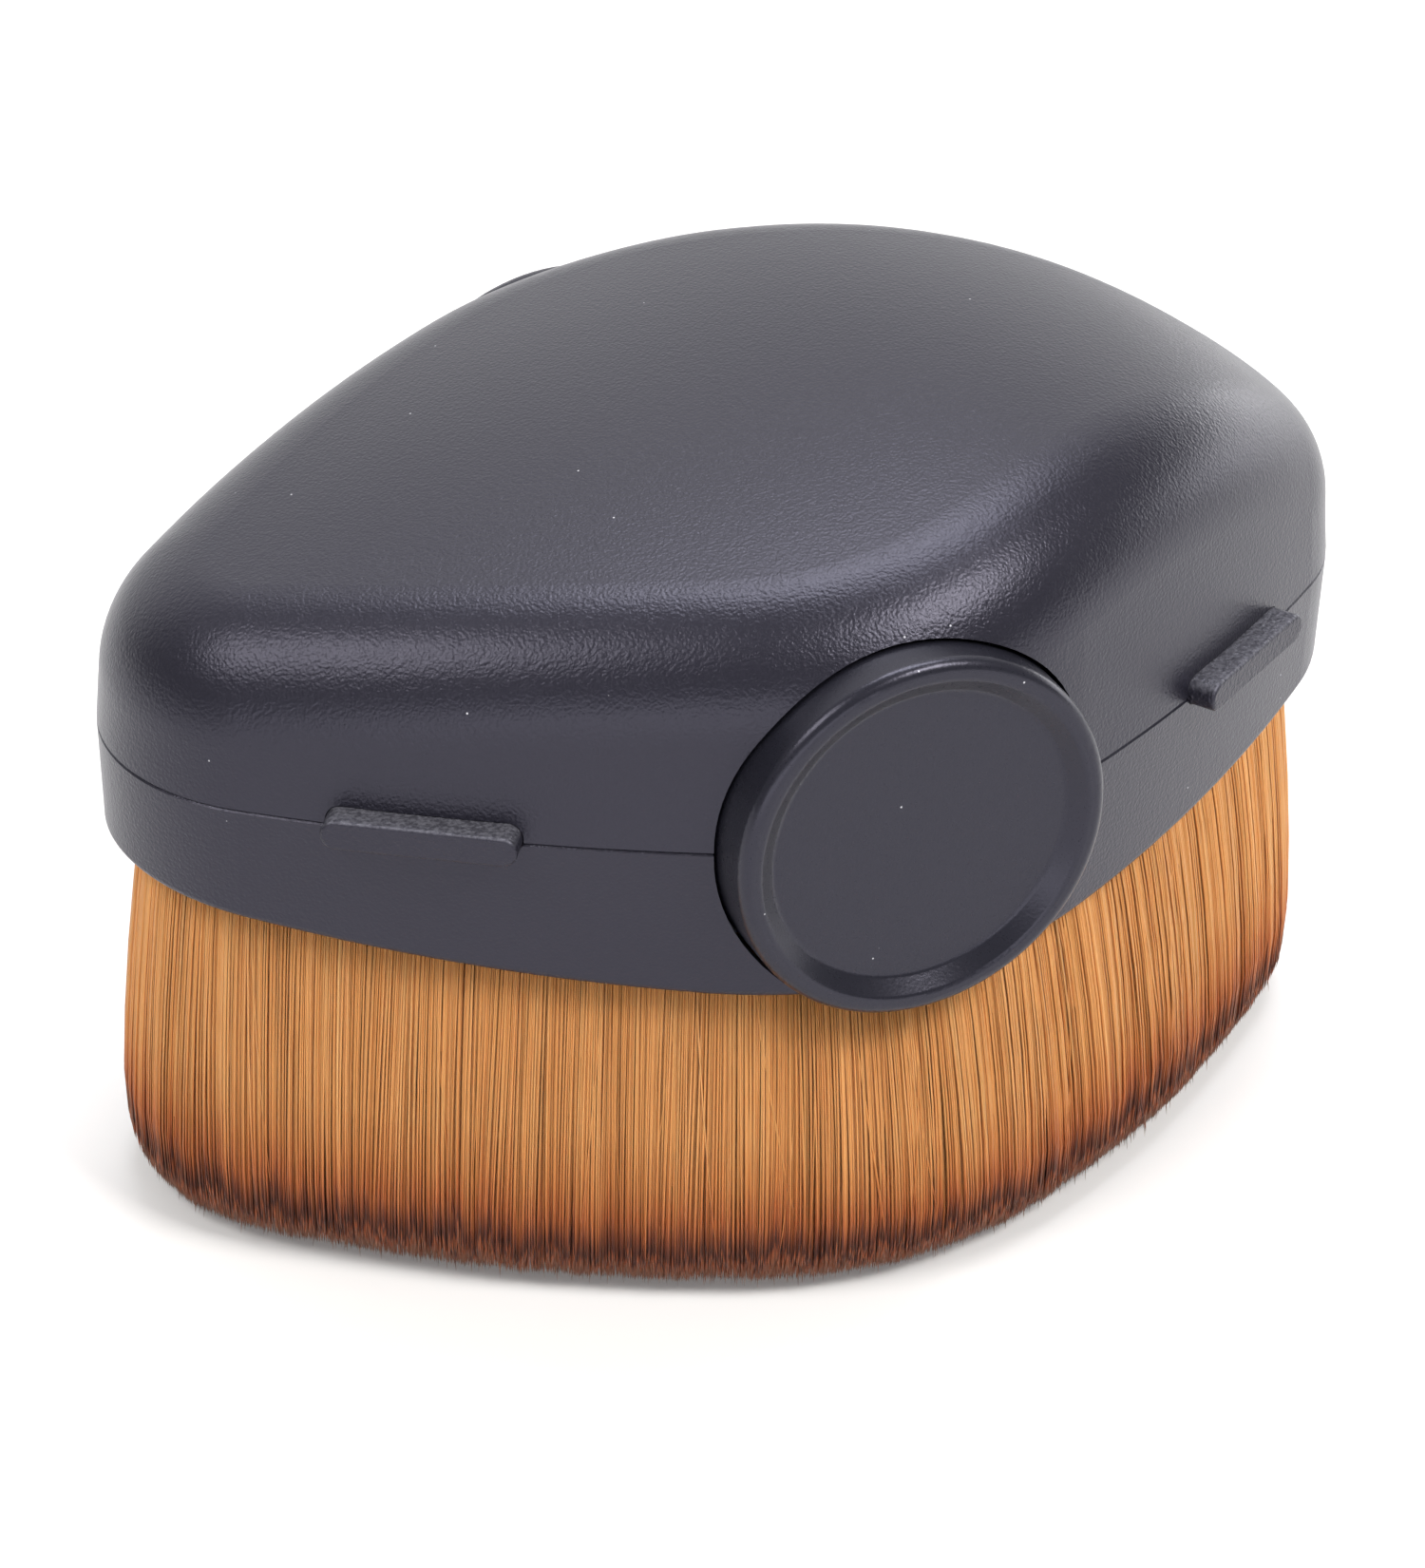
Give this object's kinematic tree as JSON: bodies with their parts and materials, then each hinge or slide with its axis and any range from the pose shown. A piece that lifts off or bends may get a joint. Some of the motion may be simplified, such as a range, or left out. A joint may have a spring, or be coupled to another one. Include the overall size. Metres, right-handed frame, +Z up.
{
  "type": "body dry brush",
  "caption": "Palm-held dry body brush: domed leaf-shaped casing, a press button on each broad side, and a dense bristle head that pulls out when both are pinched.",
  "frame": {"origin": "centre of the bristle tips' face, on the surface that the brush stands on", "axes": "+X along the leaf-shaped casing, +Y towards the rear button, +Z up through the domed top"},
  "size_m": [0.08, 0.0558, 0.0498],
  "materials": {
    "casing": "fine grain, satin",
    "button": "smooth satin",
    "seam_key": "coarse grain",
    "inner_plastic": "as moulded",
    "pad_rubber": "matte",
    "steel": "zinc plated",
    "glue": "set resin",
    "bristle": "straight synthetic fibres, dark ends"
  },
  "bodies": {
    "casing": {"upper_shell": "casing", "lower_shell": "casing", "chassis": "inner_plastic", "keeper_plate": "inner_plastic", "keeper_screws": "steel", "shell_screws": "steel", "front_left_seam_key": "seam_key", "front_right_seam_key": "seam_key", "rear_left_seam_key": "seam_key", "rear_right_seam_key": "seam_key", "front_spring": "steel", "rear_spring": "steel"},
    "front_button": {"front_button": "button", "front_yoke": "inner_plastic", "front_grip_pad": "pad_rubber", "front_yoke_screw": "steel"},
    "rear_button": {"rear_button": "button", "rear_yoke": "inner_plastic", "rear_grip_pad": "pad_rubber", "rear_yoke_screw": "steel"},
    "brush_head": {"head_base": "inner_plastic", "head_ring": "inner_plastic", "glue_bed": "glue", "bristles": "bristle"}
  },
  "joints": [
    {"name": "front_button_press", "type": "slide", "parent": "casing", "child": "front_button", "axis": [0, 1, 0], "range_m": [0, 0.002], "stiffness_N_per_m": 900, "springref_m": -0.002, "deforming": ["front_spring"]},
    {"name": "rear_button_press", "type": "slide", "parent": "casing", "child": "rear_button", "axis": [0, -1, 0], "range_m": [0, 0.002], "stiffness_N_per_m": 900, "springref_m": -0.002, "deforming": ["rear_spring"]},
    {"name": "brush_head_release", "type": "slide", "parent": "casing", "child": "brush_head", "axis": [0, 0, -1], "range_m": [0, 0.025]}
  ]
}
